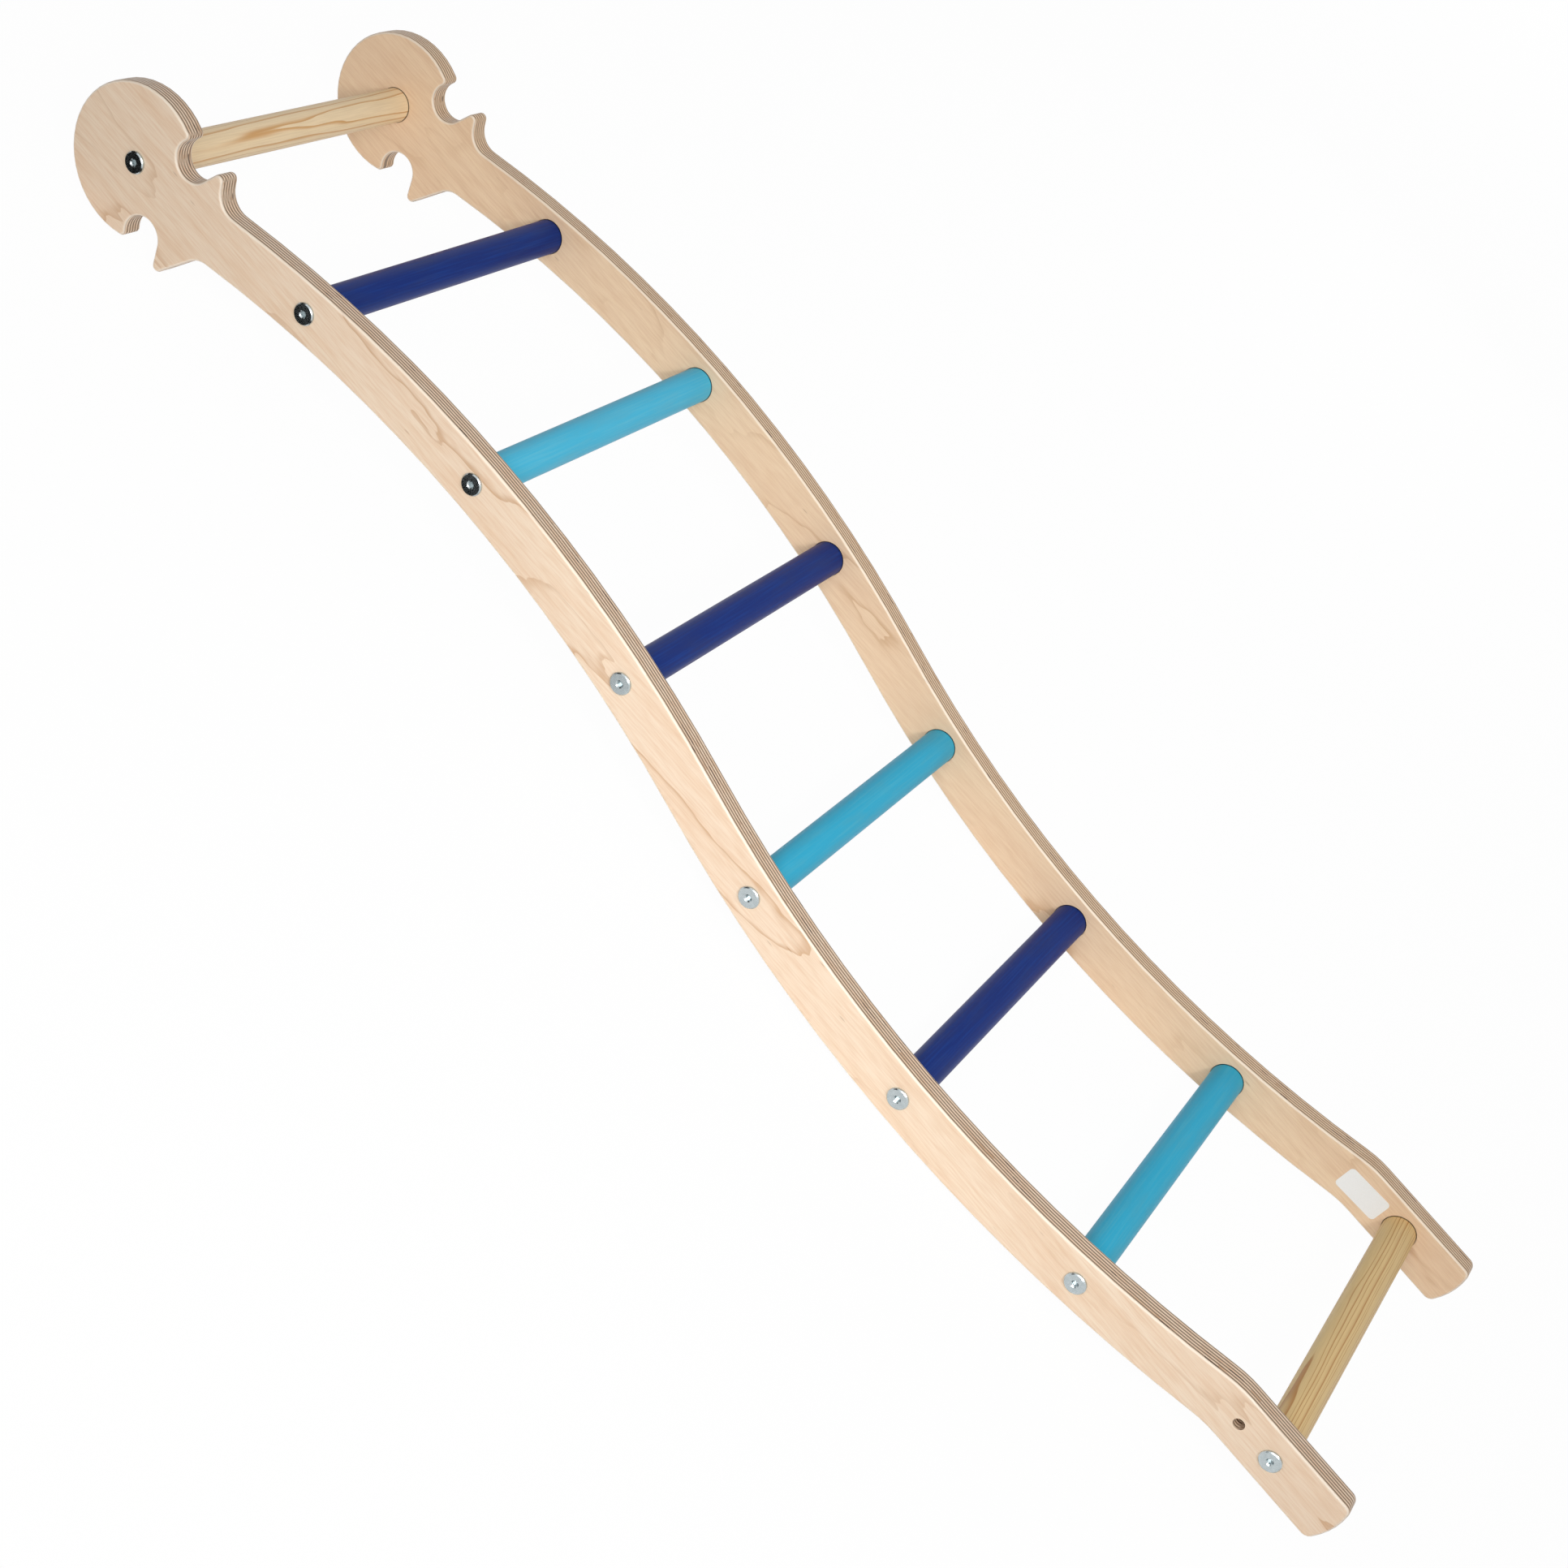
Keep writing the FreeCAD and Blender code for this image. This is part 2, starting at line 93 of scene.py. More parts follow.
def birch_veneer(tree, plane, right):
    """Colour of a rotary-cut birch ply along its grain, and the height of its fibres.

    It gives creamy wood with soft bands, fine fibres, a few brown contour lines and short dashes. plane is the
    place along the grain, the number of the ply and the place across the grain. right is 1 on the right rail.
    """
    # Broad tone 350 by 90 mm, bands 150 by 8 mm, and fibres 22 by 1.5 mm, drawn coarser than the real 0.2 mm
    tone_place = add(tree, "ShaderNodeVectorMath", {
        0: plane, 1: veneer_scale(350, 90, step=1.7)}, operation="MULTIPLY")
    tone = add(tree, "ShaderNodeTexNoise", {"Vector": tone_place, "Scale": 1.0, "Detail": 2.0})
    band_place = add(tree, "ShaderNodeVectorMath", {
        0: plane, 1: veneer_scale(150, 8, step=2.3)}, operation="MULTIPLY")
    bands = add(tree, "ShaderNodeTexNoise", {"Vector": band_place, "Scale": 1.0, "Detail": 3.0})
    fibre_place = add(tree, "ShaderNodeVectorMath", {
        0: plane, 1: veneer_scale(22, 1.5, step=3.1)}, operation="MULTIPLY")
    fibres = add(tree, "ShaderNodeTexNoise", {"Vector": fibre_place, "Scale": 1.0, "Detail": 2.0})

    # Growth rings where the peeling knife ran through them: a few contours of a slow height field, 210 by 55 mm,
    # each a thin ragged brown line that fades in and out
    contours, sharpness = 4.5, 4.0
    hill_place = add(tree, "ShaderNodeVectorMath", {
        0: plane, 1: veneer_scale(210, 55, step=5.3)}, operation="MULTIPLY")
    hill = add(tree, "ShaderNodeTexNoise", {
        "Vector": hill_place, "Scale": 1.0, "Detail": 4.0, "Roughness": 0.45})
    heights = add(tree, "ShaderNodeMath", {0: hill, 1: contours}, operation="MULTIPLY")
    season = add(tree, "ShaderNodeMath", {0: heights}, operation="FRACT")
    deepening = add(tree, "ShaderNodeMapRange", {
        "Value": season, "From Min": 0.70, "From Max": 0.96, "To Min": 0.0, "To Max": 1.0},
        interpolation_type="SMOOTHSTEP")
    ring_end = add(tree, "ShaderNodeMapRange", {
        "Value": season, "From Min": 0.965, "From Max": 0.985, "To Min": 1.0, "To Max": 0.0},
        interpolation_type="SMOOTHSTEP")
    contour = add(tree, "ShaderNodeMath", {0: deepening, 1: ring_end}, operation="MULTIPLY")
    sharp = add(tree, "ShaderNodeMath", {0: contour, 1: sharpness}, operation="POWER")
    contour_strength = add(tree, "ShaderNodeMapRange", {
        "Value": tone, "From Min": 0.42, "From Max": 0.62, "To Min": 0.10, "To Max": 0.55})
    contour_seen = add(tree, "ShaderNodeMath", {0: sharp, 1: contour_strength}, operation="MULTIPLY")

    # Brown dashes about 4 by 0.7 mm, scattered 65 by 11 mm apart
    dash_place = add(tree, "ShaderNodeVectorMath", {
        0: plane, 1: veneer_scale(65, 11, step=7.7)}, operation="MULTIPLY")
    dash_far = add(tree, "ShaderNodeTexVoronoi", {"Vector": dash_place, "Scale": 1.0, "Randomness": 1.0})
    dash = add(tree, "ShaderNodeMapRange", {
        "Value": dash_far, "From Min": 0.025, "From Max": 0.06, "To Min": 0.40, "To Max": 0.0})

    # The right rail's veneer is drawn a little more orange: painted warm light bounced between the rails
    left_cream = add(tree, "ShaderNodeMix", {
        "Factor": tone, "A": linear("#F5E1C8"), "B": linear("#EAD2BA")}, data_type="RGBA")
    right_cream_painted_bounce = add(tree, "ShaderNodeMix", {
        "Factor": tone, "A": linear("#F6DBB8"), "B": linear("#EAC9A8")}, data_type="RGBA")
    cream = add(tree, "ShaderNodeMix", {"Factor": right, "A": left_cream, "B": right_cream_painted_bounce}, data_type="RGBA")
    band_amount = add(tree, "ShaderNodeMapRange", {
        "Value": bands, "From Min": 0.42, "From Max": 0.72, "To Min": 0.0, "To Max": 0.50})
    banded = add(tree, "ShaderNodeMix", {
        "Factor": band_amount, "A": cream, "B": linear("#E3BF9D")}, data_type="RGBA")
    fibre_amount = add(tree, "ShaderNodeMapRange", {
        "Value": fibres, "From Min": 0.40, "From Max": 0.72, "To Min": 0.0, "To Max": 0.42})
    fibred = add(tree, "ShaderNodeMix", {
        "Factor": fibre_amount, "A": banded, "B": linear("#DAB08A")}, data_type="RGBA")
    lined = add(tree, "ShaderNodeMix", {
        "Factor": contour_seen, "A": fibred, "B": linear("#BC8A58")}, data_type="RGBA")
    dashed = add(tree, "ShaderNodeMix", {
        "Factor": dash, "A": lined, "B": linear("#96663E")}, data_type="RGBA")
    return dashed, fibres


def painted_rim_highlight(tree, normal_y):
    """Amount of the painted highlight, a paler rim, on the round-over between a rail's face and its cut edge."""
    facing = add(tree, "ShaderNodeMath", {0: normal_y}, operation="ABSOLUTE")
    from_edge = add(tree, "ShaderNodeMapRange", {
        "Value": facing, "From Min": 0.25, "From Max": 0.70, "To Min": 0.0, "To Max": 0.55})
    to_face = add(tree, "ShaderNodeMapRange", {
        "Value": facing, "From Min": 0.85, "From Max": 0.99, "To Min": 1.0, "To Max": 0.0})
    return add(tree, "ShaderNodeMath", {0: from_edge, 1: to_face}, operation="MULTIPLY")


def birch_plywood():
    """Birch plywood, routed, sanded and finished with clear satin lacquer.

    Thirteen plies lie crosswise. The faces give creamy veneer. The routed edges give stripes, because a ply
    cut across its grain is darker, with thin glue lines and a few slits of painted shade. The round-overs
    carry a painted highlight, a paler rim.
    """
    finish, tree = new_finish("birch_plywood_routed_lacquered")
    place = add(tree, "ShaderNodeTexCoord").node.outputs["Object"]
    x, y, z = add(tree, "ShaderNodeSeparateXYZ", {"Vector": place}).node.outputs
    normal = add(tree, "ShaderNodeNewGeometry").node.outputs["Normal"]
    normal_x, normal_y, normal_z = add(tree, "ShaderNodeSeparateXYZ", {"Vector": normal}).node.outputs
    right = add(tree, "ShaderNodeMath", {0: y, 1: 0.0}, operation="GREATER_THAN")

    # Ply number from 0 on the inner face to 12 on the outer one, and the place within that ply
    just_inside, sheets_apart = 0.001, 31.0
    far = add(tree, "ShaderNodeMath", {0: y}, operation="ABSOLUTE")
    plies_in = add(tree, "ShaderNodeMapRange", {
        "Value": far, "From Min": INNER_FACE, "From Max": INNER_FACE + PLY_SHEET, "To Min": just_inside,
        "To Max": PLIES - just_inside})
    ply = add(tree, "ShaderNodeMath", {0: plies_in}, operation="FLOOR")
    within = add(tree, "ShaderNodeMath", {0: plies_in}, operation="FRACT")
    odd = add(tree, "ShaderNodeMath", {0: ply, 1: 2.0}, operation="MODULO")
    side = add(tree, "ShaderNodeMath", {0: y}, operation="SIGN")
    sheet = add(tree, "ShaderNodeMath", {0: side, 1: sheets_apart, 2: ply}, operation="MULTIPLY_ADD")

    # Each ply's own plane: along its grain, a number that parts the plies, across its grain
    along = add(tree, "ShaderNodeMix", {"Factor": odd, "A": x, "B": z})
    across = add(tree, "ShaderNodeMix", {"Factor": odd, "A": z, "B": x})
    plane = add(tree, "ShaderNodeCombineXYZ", {"X": along, "Y": sheet, "Z": across})
    grain_normal = add(tree, "ShaderNodeMix", {"Factor": odd, "A": normal_x, "B": normal_z})
    end_grain = add(tree, "ShaderNodeMath", {0: grain_normal, 1: grain_normal}, operation="MULTIPLY")
    long_grain, fibres = birch_veneer(tree, plane, right)

    # End grain: darker, speckled with pores drawn at 0.9 mm, since the real 0.1 mm ones are too fine to show
    pores = add(tree, "ShaderNodeTexNoise", {"Vector": place, "Scale": 1 / (0.9 * MM), "Detail": 2.0})
    left_cut = add(tree, "ShaderNodeMix", {
        "Factor": pores, "A": linear("#80603F"), "B": linear("#5C412B")}, data_type="RGBA")
    right_cut = add(tree, "ShaderNodeMix", {
        "Factor": pores, "A": linear("#967A5B"), "B": linear("#725A44")}, data_type="RGBA")
    cut_grain = add(tree, "ShaderNodeMix", {"Factor": right, "A": left_cut, "B": right_cut}, data_type="RGBA")
    end_amount = add(tree, "ShaderNodeMapRange", {
        "Value": end_grain, "From Min": 0.1, "From Max": 0.9, "To Min": 0.0, "To Max": 0.85})
    wood = add(tree, "ShaderNodeMix", {
        "Factor": end_amount, "A": long_grain, "B": cut_grain}, data_type="RGBA")

    # Glue lines at both sides of each odd ply, 0.1 mm in truth and drawn at 0.17 mm
    middle = add(tree, "ShaderNodeMath", {0: within, 1: 0.5}, operation="SUBTRACT")
    off_middle = add(tree, "ShaderNodeMath", {0: middle}, operation="ABSOLUTE")
    glue_line = add(tree, "ShaderNodeMapRange", {
        "Value": off_middle, "From Min": 0.38, "From Max": 0.49, "To Min": 0.0, "To Max": 0.45})
    glue = add(tree, "ShaderNodeMath", {0: glue_line, 1: odd}, operation="MULTIPLY")
    glued = add(tree, "ShaderNodeMix", {
        "Factor": glue, "A": wood, "B": linear("#7A5433")}, data_type="RGBA")

    # Painted shade of core gaps: dark slits where two strips of a core ply don't meet,
    # about 18 mm long, a few on each rail
    gap_place = add(tree, "ShaderNodeVectorMath", {
        0: plane, 1: veneer_scale(20, 20, step=14.31)}, operation="MULTIPLY")
    gap_noise = add(tree, "ShaderNodeTexNoise", {"Vector": gap_place, "Scale": 1.0, "Detail": 0.0})
    gap = add(tree, "ShaderNodeMapRange", {
        "Value": gap_noise, "From Min": 0.74, "From Max": 0.76, "To Min": 0.0, "To Max": 0.8})
    core_gap_painted_shade = add(tree, "ShaderNodeMath", {0: gap, 1: odd}, operation="MULTIPLY")
    slit = add(tree, "ShaderNodeMix", {
        "Factor": core_gap_painted_shade, "A": glued, "B": linear("#4A2F1C")}, data_type="RGBA")

    # Painted highlight: the round-overs between faces and cut edges are drawn paler
    colour = add(tree, "ShaderNodeMix", {
        "Factor": painted_rim_highlight(tree, normal_y), "A": slit, "B": linear("#FFF6E8")}, data_type="RGBA")
    roughness = add(tree, "ShaderNodeMapRange", {
        "Value": fibres, "From Min": 0.3, "From Max": 0.7, "To Min": 0.34, "To Max": 0.46})
    bump = add(tree, "ShaderNodeBump", {"Strength": 0.12, "Distance": 0.1 * MM, "Height": fibres})
    shader = add(tree, "ShaderNodeBsdfPrincipled", {
        "Base Color": colour, "Roughness": roughness, "IOR": 1.5, "Normal": bump})
    add(tree, "ShaderNodeOutputMaterial", {"Surface": shader})
    return finish


def painted_seat_shadow(tree, place):
    """Amount of the painted shadow where a rung enters its sockets: a 0.25 mm gap's shade, drawn 0.7 mm wide."""
    faint, full = INNER_FACE - 0.9 * MM, INNER_FACE - 0.5 * MM
    _, y, _ = add(tree, "ShaderNodeSeparateXYZ", {"Vector": place}).node.outputs
    far = add(tree, "ShaderNodeMath", {0: y}, operation="ABSOLUTE")
    return add(tree, "ShaderNodeMapRange", {
        "Value": far, "From Min": faint, "From Max": full, "To Min": 0.0, "To Max": 0.8})


def turned_pine(name, axis, pith, ring, pale, late):
    """Pine dowel, turned, sanded and clear-lacquered.

    Growth rings are cylinders round a pith beside the dowel, so they show as long lines that close into tall
    cathedrals where they touch the surface: pale yellow early wood, then a thin orange-brown late-wood line.
    axis is the dowel's (x, z), pith is the pith's (x, z) from there, and ring is the spacing of the rings.
    """
    finish, tree = new_finish(name)
    place = add(tree, "ShaderNodeTexCoord").node.outputs["Object"]
    centred = add(tree, "ShaderNodeMapping", {
        "Vector": place, "Location": (-axis[0] - pith[0], 0.0, -axis[1] - pith[1])}, vector_type="POINT")

    # The rings waver by 3 mm over 160 mm along the dowel, taper with the trunk, and lie unevenly close
    waver_span, taper, spells_per_year, spell_years = 6 * MM, 0.008, 0.45, 2.6
    waver_place = add(tree, "ShaderNodeVectorMath", {0: centred, 1: dowel_scale(160, 20)}, operation="MULTIPLY")
    waver = add(tree, "ShaderNodeTexNoise", {"Vector": waver_place, "Scale": 1.0, "Detail": 2.0})
    x, y, z = add(tree, "ShaderNodeSeparateXYZ", {"Vector": centred}).node.outputs
    flat = add(tree, "ShaderNodeCombineXYZ", {"X": x, "Z": z})
    from_pith = add(tree, "ShaderNodeVectorMath", {0: flat}, operation="LENGTH").node.outputs["Value"]
    tapered = add(tree, "ShaderNodeMath", {0: y, 1: taper, 2: from_pith}, operation="MULTIPLY_ADD")
    wavy = add(tree, "ShaderNodeMath", {0: waver, 1: waver_span, 2: tapered}, operation="MULTIPLY_ADD")
    even_years = add(tree, "ShaderNodeMath", {0: wavy, 1: ring}, operation="DIVIDE")
    spell = add(tree, "ShaderNodeTexNoise", {
        "W": even_years, "Scale": spells_per_year, "Detail": 1.0}, noise_dimensions="1D")
    years = add(tree, "ShaderNodeMath", {0: spell, 1: spell_years, 2: even_years}, operation="MULTIPLY_ADD")

    # Within a year the late wood darkens slowly and ends at once
    thinness = 2.2
    season = add(tree, "ShaderNodeMath", {0: years}, operation="FRACT")
    late_wood = add(tree, "ShaderNodeMapRange", {
        "Value": season, "From Min": 0.55, "From Max": 0.96, "To Min": 0.0, "To Max": 1.0},
        interpolation_type="SMOOTHSTEP")
    year_end = add(tree, "ShaderNodeMapRange", {
        "Value": season, "From Min": 0.96, "From Max": 1.0, "To Min": 1.0, "To Max": 0.0},
        interpolation_type="SMOOTHSTEP")
    year = add(tree, "ShaderNodeMath", {0: late_wood, 1: year_end}, operation="MULTIPLY")
    line = add(tree, "ShaderNodeMath", {0: year, 1: thinness}, operation="POWER")

    # Fibres 25 mm long and 0.8 mm wide, drawn coarser than the real 0.05 mm
    fibre_place = add(tree, "ShaderNodeVectorMath", {0: centred, 1: dowel_scale(25, 0.8)}, operation="MULTIPLY")
    fibres = add(tree, "ShaderNodeTexNoise", {"Vector": fibre_place, "Scale": 1.0, "Detail": 2.0})
    ringed = add(tree, "ShaderNodeMix", {
        "Factor": line, "A": linear(pale), "B": linear(late)}, data_type="RGBA")
    fibre_amount = add(tree, "ShaderNodeMapRange", {
        "Value": fibres, "From Min": 0.4, "From Max": 0.75, "To Min": 0.0, "To Max": 0.18})
    fibred = add(tree, "ShaderNodeMix", {
        "Factor": fibre_amount, "A": ringed, "B": linear("#A9814F")}, data_type="RGBA")
    # Painted shadow: a dark line on the rung where it enters its sockets
    colour = add(tree, "ShaderNodeMix", {
        "Factor": painted_seat_shadow(tree, place), "A": fibred, "B": linear("#4A3520")}, data_type="RGBA")
    roughness = add(tree, "ShaderNodeMapRange", {
        "Value": line, "From Min": 0.0, "From Max": 1.0, "To Min": 0.50, "To Max": 0.38})
    bump = add(tree, "ShaderNodeBump", {"Strength": 0.15, "Distance": 0.1 * MM, "Height": fibres})
    shader = add(tree, "ShaderNodeBsdfPrincipled", {
        "Base Color": colour, "Roughness": roughness, "IOR": 1.5, "Normal": bump})
    add(tree, "ShaderNodeOutputMaterial", {"Surface": shader})
    return finish


def painted_dowel(name, body, thin, worn):
    """Water-based paint, sprayed thin on a turned softwood dowel.

    The wood's long fibres lift under the coat, so it has faint lighter and duller streaks along the rung, a
    soft satin gloss that breaks up along them, and a warm dusty sheen where it turns away.
    """
    finish, tree = new_finish(name)
    place = add(tree, "ShaderNodeTexCoord").node.outputs["Object"]

    # Streaks 60 by 1.4 mm and clouds of thinner paint 50 by 9 mm
    streak_place = add(tree, "ShaderNodeVectorMath", {0: place, 1: dowel_scale(60, 1.4)}, operation="MULTIPLY")
    streaks = add(tree, "ShaderNodeTexNoise", {"Vector": streak_place, "Scale": 1.0, "Detail": 3.0})
    cloud_place = add(tree, "ShaderNodeVectorMath", {0: place, 1: dowel_scale(50, 9)}, operation="MULTIPLY")
    clouds = add(tree, "ShaderNodeTexNoise", {"Vector": cloud_place, "Scale": 1.0, "Detail": 2.0})
    thin_amount = add(tree, "ShaderNodeMapRange", {
        "Value": streaks, "From Min": 0.45, "From Max": 0.75, "To Min": 0.0, "To Max": 0.5})
    thinned = add(tree, "ShaderNodeMix", {
        "Factor": thin_amount, "A": linear(body), "B": linear(thin)}, data_type="RGBA")
    worn_amount = add(tree, "ShaderNodeMapRange", {
        "Value": clouds, "From Min": 0.5, "From Max": 0.8, "To Min": 0.0, "To Max": 0.4})
    clouded = add(tree, "ShaderNodeMix", {
        "Factor": worn_amount, "A": thinned, "B": linear(worn)}, data_type="RGBA")
    # Painted shadow: a dark line on the rung where it enters its sockets
    colour = add(tree, "ShaderNodeMix", {
        "Factor": painted_seat_shadow(tree, place), "A": clouded, "B": linear("#0C0E15")}, data_type="RGBA")
    roughness = add(tree, "ShaderNodeMapRange", {
        "Value": streaks, "From Min": 0.3, "From Max": 0.7, "To Min": 0.36, "To Max": 0.5})
    bump = add(tree, "ShaderNodeBump", {"Strength": 0.2, "Distance": 0.12 * MM, "Height": streaks})
    shader = add(tree, "ShaderNodeBsdfPrincipled", {
        "Base Color": colour, "Roughness": roughness, "IOR": 1.5, "Specular IOR Level": 0.1,
        "Sheen Weight": 0.06, "Sheen Roughness": 0.3, "Sheen Tint": linear("#D9A98C"), "Normal": bump})
    add(tree, "ShaderNodeOutputMaterial", {"Surface": shader})
    return finish


def zinc_steel():
    """Cold-headed steel, zinc-plated bright: a grey mirror, slightly clouded, with a soft grit in its gloss."""
    finish, tree = new_finish("zinc_plated_steel")
    place = add(tree, "ShaderNodeTexCoord").node.outputs["Object"]

    # Clouding of the plating over 3 mm, and its grain drawn at 0.4 mm
    clouds = add(tree, "ShaderNodeTexNoise", {"Vector": place, "Scale": 1 / (3 * MM), "Detail": 2.0})
    grain = add(tree, "ShaderNodeTexNoise", {"Vector": place, "Scale": 1 / (0.4 * MM), "Detail": 1.0})
    colour = add(tree, "ShaderNodeMix", {
        "Factor": clouds, "A": linear("#CCD5D7"), "B": linear("#AEB7BA")}, data_type="RGBA")
    roughness = add(tree, "ShaderNodeMapRange", {
        "Value": grain, "From Min": 0.3, "From Max": 0.7, "To Min": 0.18, "To Max": 0.30})
    shader = add(tree, "ShaderNodeBsdfPrincipled", {
        "Base Color": colour, "Metallic": 1.0, "Roughness": roughness})
    add(tree, "ShaderNodeOutputMaterial", {"Surface": shader})
    return finish


def label_paper():
    """Uncoated white paper label: matt, with a faint mottle of its fibres, drawn at 0.8 mm."""
    finish, tree = new_finish("uncoated_label_paper")
    place = add(tree, "ShaderNodeTexCoord").node.outputs["Object"]
    mottle = add(tree, "ShaderNodeTexNoise", {"Vector": place, "Scale": 1 / (0.8 * MM), "Detail": 2.0})
    colour = add(tree, "ShaderNodeMix", {
        "Factor": mottle, "A": linear("#FBFBFA"), "B": linear("#F2F1EE")}, data_type="RGBA")
    shader = add(tree, "ShaderNodeBsdfPrincipled", {"Base Color": colour, "Roughness": 0.7})
    add(tree, "ShaderNodeOutputMaterial", {"Surface": shader})
    return finish


def rounded_label(name, centre, width, height, corner, thickness, turn):
    """Thin closed label on the inner face of the right rail, its front towards -Y.

    u goes round the rim: the rim point is the nearest corner's centre plus the corner radius times
    (cos u, sin u). v goes from the middle of the front over the edge to the middle of the back: it scales the
    rim towards the middle and steps through the thickness. The whole is turned about Y at centre, its (x, z).
    """
    steps = 9
    quarter = np.repeat(np.arange(4), steps)
    angle = (quarter + np.tile(np.linspace(0, 1, steps), 4)) * np.pi / 2
    corner_x = np.array([1, -1, -1, 1])[quarter] * (width / 2 - corner)
    corner_z = np.array([1, 1, -1, -1])[quarter] * (height / 2 - corner)
    rim = np.column_stack([corner_x + corner * np.cos(angle), corner_z + corner * np.sin(angle)])
    reach = np.array([0.5, 0.95, 0.995, 1.0, 1.0, 0.5])
    rise = np.array([1.0, 1.0, 1.0, 0.7, 0.0, 0.0]) * thickness
    flat = reach[:, None, None] * rim[None]
    cos_turn, sin_turn = np.cos(turn), np.sin(turn)
    along = centre[0] + flat[..., 0] * cos_turn - flat[..., 1] * sin_turn
    up = centre[1] + flat[..., 0] * sin_turn + flat[..., 1] * cos_turn
    out = np.broadcast_to(INNER_FACE - rise[:, None], along.shape)
    rings = np.stack([along, out, up], axis=-1).reshape(-1, 3)
    poles = np.array([[centre[0], INNER_FACE - thickness, centre[1]], [centre[0], INNER_FACE, centre[1]]])

    rows, count = reach.size, rim.shape[0]
    here = np.arange(count)
    after = (here + 1) % count
    start = np.arange(rows - 1)[:, None] * count
    last = (rows - 1) * count
    quads = np.stack([start + here, start + count + here, start + count + after, start + after], axis=-1)
    front = np.column_stack([np.full(count, rows * count), here, after])
    back = np.column_stack([np.full(count, rows * count + 1), last + after, last + here])
    mesh = bpy.data.meshes.new(name)
    faces = quads.reshape(-1, 4).tolist() + front.tolist() + back.tolist()
    mesh.from_pydata(np.vstack([rings, poles]).tolist(), [], faces)
    mesh.update()
    label = bpy.data.objects.new(name, mesh)
    SCENE.collection.objects.link(label)
    return label


def studio_sheet(name, corners, finish):
    """Flat four-cornered sheet of the studio in one finish."""
    mesh = bpy.data.meshes.new(name)
    mesh.from_pydata(corners, [], [(0, 1, 2, 3)])
    mesh.materials.append(finish)
    sheet = bpy.data.objects.new(name, mesh)
    SCENE.collection.objects.link(sheet)
    return sheet


def in_sight(tree):
    """1 where the studio is seen straight, mirrored or through glass, and 0 where it only lights the object."""
    ray = add(tree, "ShaderNodeLightPath").node.outputs
    seen = add(tree, "ShaderNodeMath", {
        0: ray["Is Camera Ray"], 1: ray["Is Glossy Ray"]}, operation="MAXIMUM")
    return add(tree, "ShaderNodeMath", {0: seen, 1: ray["Is Transmission Ray"]}, operation="MAXIMUM")


def studio_floor():
    """Pale matt paper sweep. In sight it goes most of the way to white, and keeps a soft shadow.

    From 1.5 m off the middle to 4 m it goes all the way, so that no edge shows at the horizon.
    """
    finish, tree = new_finish("pale_paper_sweep")
    place = add(tree, "ShaderNodeTexCoord").node.outputs["Object"]
    off_middle = add(tree, "ShaderNodeVectorMath", {0: place}, operation="LENGTH").node.outputs["Value"]
    whiteness = add(tree, "ShaderNodeMapRange", {
        "Value": off_middle, "From Min": 1.5, "From Max": 4.0, "To Min": 0.97, "To Max": 1.0})
    share = add(tree, "ShaderNodeMath", {0: in_sight(tree), 1: whiteness}, operation="MULTIPLY")
    paper = add(tree, "ShaderNodeBsdfDiffuse", {"Color": linear("#F4F4F3")})
    white = add(tree, "ShaderNodeEmission", {"Color": linear("#FFFFFF"), "Strength": 1.0})
    shader = add(tree, "ShaderNodeMixShader", {0: share, 1: paper, 2: white})
    add(tree, "ShaderNodeOutputMaterial", {"Surface": shader})
    reach, under = 8.0, -0.2 * MM
    studio_sheet("studio_floor", [
        (-reach, -reach, under), (reach, -reach, under), (reach, reach, under), (-reach, reach, under)], finish)


def dark_flags():
    """Black flags that show only in the bolts' gloss, where the photo's studio was dark.

    One lies in front of the head and thins out towards the middle, and the other stands beyond the head.
    """
    head_end, thinning, clear_end = -0.76, -0.24, -0.07
    finish, tree = new_finish("black_flag")
    place = add(tree, "ShaderNodeTexCoord").node.outputs["Object"]
    x = add(tree, "ShaderNodeSeparateXYZ", {"Vector": place})
    thin = add(tree, "ShaderNodeMapRange", {
        "Value": x, "From Min": thinning, "From Max": clear_end, "To Min": 0.0, "To Max": 1.0})
    black = add(tree, "ShaderNodeBsdfDiffuse", {"Color": linear("#141414")})
    clear = add(tree, "ShaderNodeBsdfTransparent")
    shader = add(tree, "ShaderNodeMixShader", {0: thin, 1: black, 2: clear})
    add(tree, "ShaderNodeOutputMaterial", {"Surface": shader})

    low, front, back = 2 * MM, -0.36, -0.185
    lying = studio_sheet("lying_flag", [
        (head_end, front, low), (clear_end, front, low), (clear_end, back, low), (head_end, back, low)], finish)
    beyond, near, far, top = -1.6, -1.6, 0.3, 1.0
    standing = studio_sheet("standing_flag", [
        (beyond, near, low), (beyond, far, low), (beyond, far, top), (beyond, near, top)], finish)
    for flag in (lying, standing):
        flag.visible_camera = False
        flag.visible_diffuse = False
        flag.visible_shadow = False
        flag.visible_transmission = False


def soft_light(name, place, width, spread, power):
    """Square soft box that looks at the ladder's middle.

    Its grid narrows the spread, in degrees, so that the ladder's ends get less light. width is in metres.
    """
    light = bpy.data.lights.new(name, "AREA")
    light.shape = "SQUARE"
    light.size = width
    light.spread = np.radians(spread)
    light.energy = power
    box = bpy.data.objects.new(name, light)
    box.location = place
    box.rotation_euler = (Vector(place) - LADDER_MIDDLE).to_track_quat("Z", "Y").to_euler()
    SCENE.collection.objects.link(box)
    return box


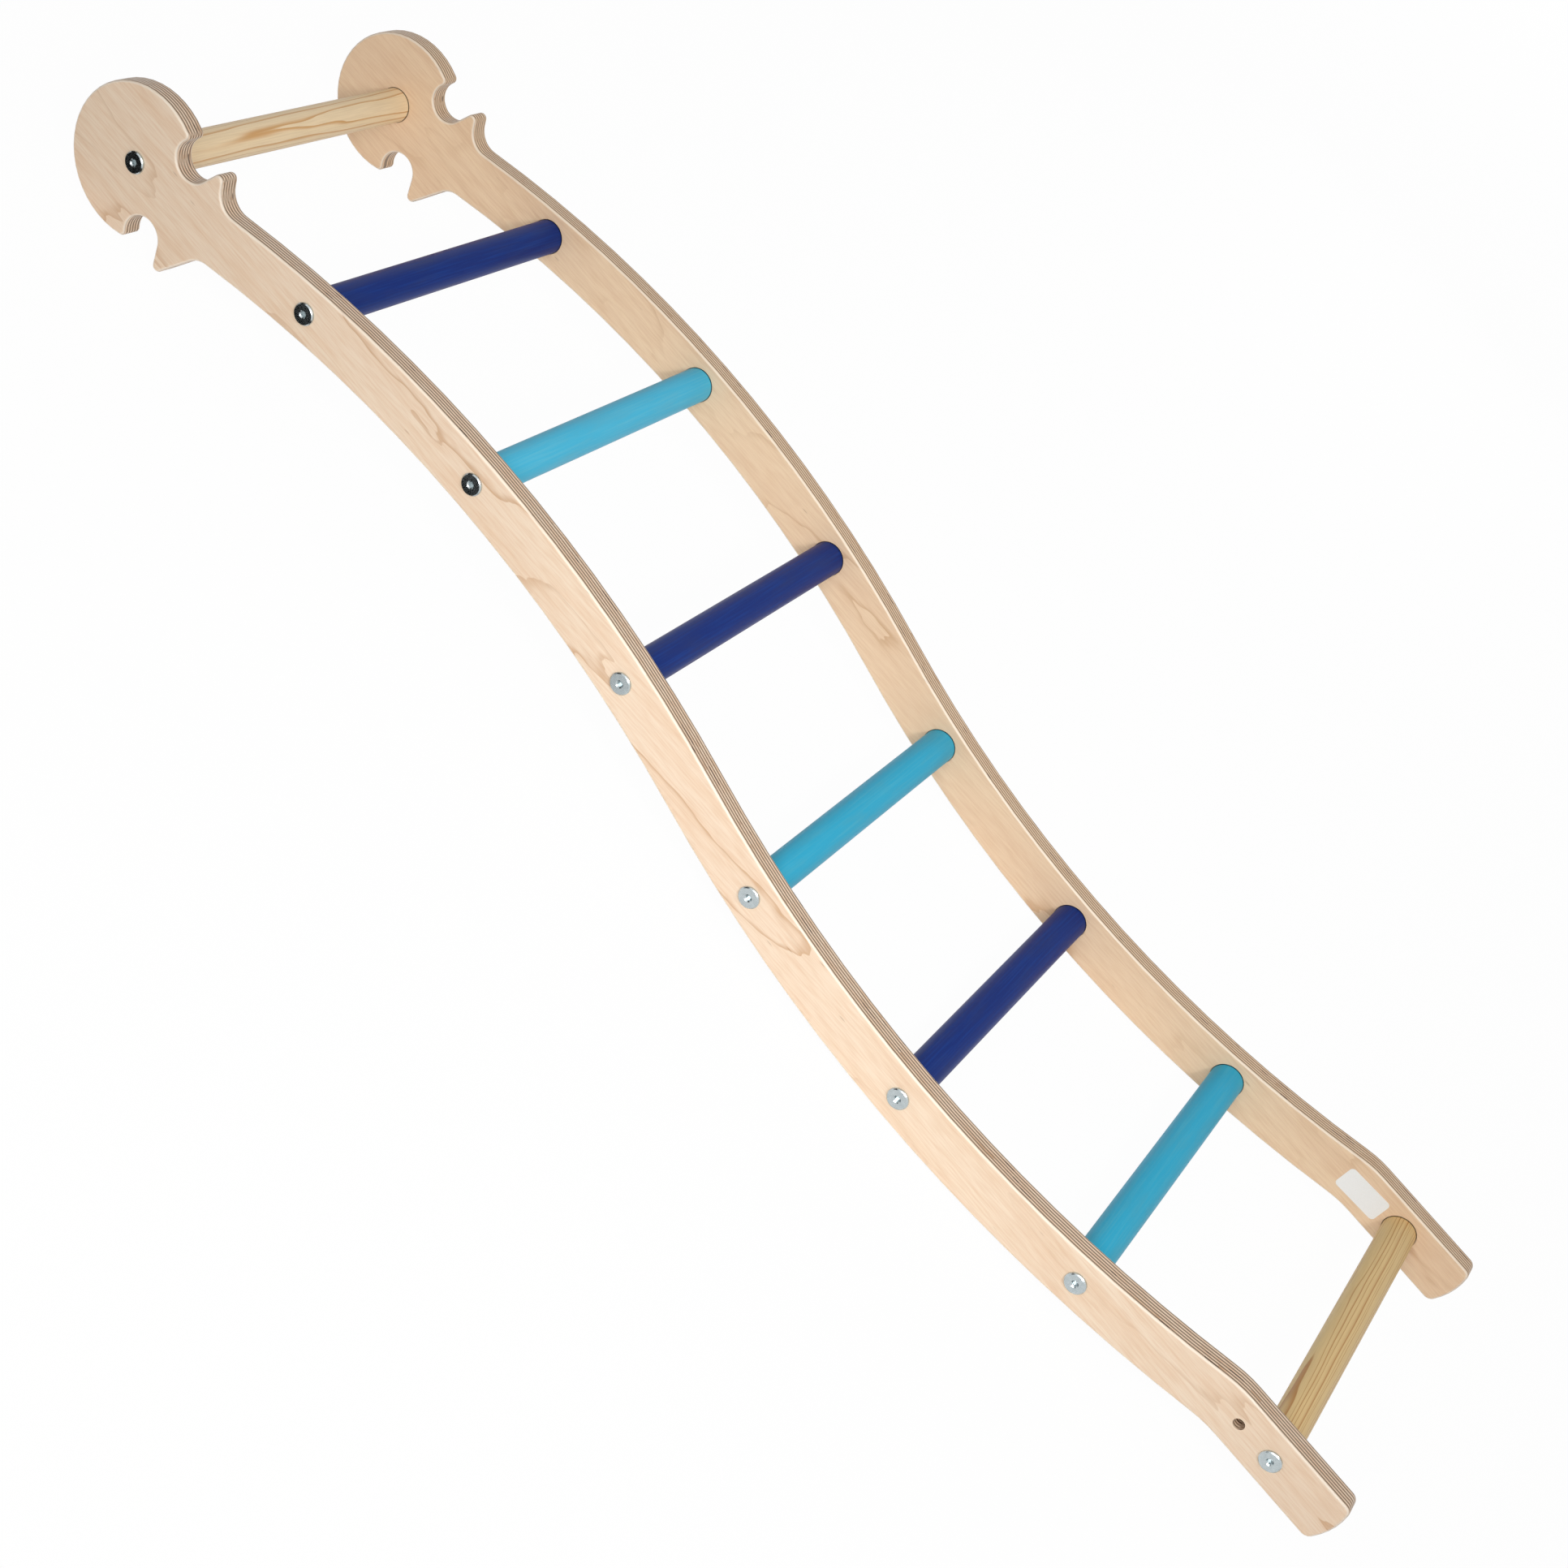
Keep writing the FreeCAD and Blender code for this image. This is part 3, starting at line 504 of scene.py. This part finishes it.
def studio_world(to_object):
    """Even white surround: full white in sight, and a set level of light on the object."""
    world = bpy.data.worlds.new("white_surround")
    world.use_nodes = True
    tree = world.node_tree
    tree.nodes.clear()
    level = add(tree, "ShaderNodeMix", {"Factor": in_sight(tree), "A": to_object, "B": 1.0})
    white = add(tree, "ShaderNodeBackground", {"Color": linear("#FFFFFF"), "Strength": level})
    add(tree, "ShaderNodeOutputWorld", {"Surface": white})
    SCENE.world = world


def photo_camera():
    """Camera of the photo: its place, its right, down and forward directions, and its focal length in pixels."""
    image, sensor = 1932, 36.0
    focal, centre = 3102.343, (942.462, 859.233)
    place = (0.151867, -1.553731, 1.144795)
    right = Vector((0.658734, 0.482789, 0.577048)).normalized()
    forward = Vector((-0.093104, 0.813380, -0.574234)).normalized()
    down = forward.cross(right)
    data = bpy.data.cameras.new("photo_camera")
    data.sensor_width = sensor
    data.lens = focal / image * sensor
    data.shift_x = (image / 2 - centre[0]) / image
    data.shift_y = (centre[1] - image / 2) / image
    data.clip_start = 0.05
    camera = bpy.data.objects.new("photo_camera", data)
    turn = Matrix((right, -down, -forward)).transposed()
    camera.matrix_world = Matrix.Translation(place) @ turn.to_4x4()
    SCENE.collection.objects.link(camera)
    SCENE.camera = camera


def rung_axis(number):
    """Place (x, z) of a rung's axis."""
    low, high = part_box(f"rung_{number}")
    return (low[0] + high[0]) / 2, (low[2] + high[2]) / 2


def dress(node, finish):
    """Gives a carried-over node one finish."""
    NODES[node].data.materials.clear()
    NODES[node].data.materials.append(finish)


# Finishes
plywood = birch_plywood()
navy = painted_dowel("navy_paint_sprayed_thin", body="#0A2A74", thin="#1C4696", worn="#2A3560")
light_blue = painted_dowel("light_blue_paint_sprayed", body="#35AFD3", thin="#5ABBD4", worn="#57A6BA")
# Rung 3 gets a paler copy of the light blue paint
pale_blue = painted_dowel("light_blue_paint_sprayed_paler", body="#4CBDE0", thin="#72C8E0", worn="#6CB4CA")
head_pine = turned_pine(
    "pine_turned_lacquered_head", rung_axis(1), pith=(-18 * MM, -25.5 * MM), ring=3.3 * MM,
    pale="#F8DFB7", late="#D8A466")
foot_pine = turned_pine(
    "pine_turned_lacquered_foot", rung_axis(8), pith=(-42 * MM, 16.5 * MM), ring=2.8 * MM,
    pale="#E2C38A", late="#B67E3A")
steel = zinc_steel()
rung_finishes = (head_pine, navy, pale_blue, navy, light_blue, navy, light_blue, foot_pine)
for rail in ("left_rail", "right_rail"):
    dress(rail, plywood)
for number, rung_finish in enumerate(rung_finishes, start=1):
    dress(f"rung_{number}", rung_finish)
    dress(f"rung_{number}_bolts", steel)
    dress(f"rung_{number}_inserts", steel)

# Blank paper label inside the foot of the right rail
label = rounded_label(
    "foot_label", centre=(566.2 * MM, 58.4 * MM), width=41 * MM, height=22.5 * MM, corner=3.5 * MM,
    thickness=0.15 * MM, turn=np.radians(3))
label.data.materials.append(label_paper())
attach(label, "root")

# Studio, with a fill from behind that shows in no gloss
studio_floor()
dark_flags()
studio_world(to_object=0.38)
soft_light("key_soft_box", place=(1.0, -1.7, 1.9), width=0.5, spread=56, power=2.6)
soft_light("front_soft_box", place=(0.05, -1.40, 0.90), width=0.8, spread=112, power=3.8)
back_fill = soft_light("back_soft_box", place=(0.10, 2.00, 0.50), width=0.8, spread=100, power=3.2)
back_fill.visible_glossy = False
photo_camera()
SCENE.view_settings.view_transform = "Standard"
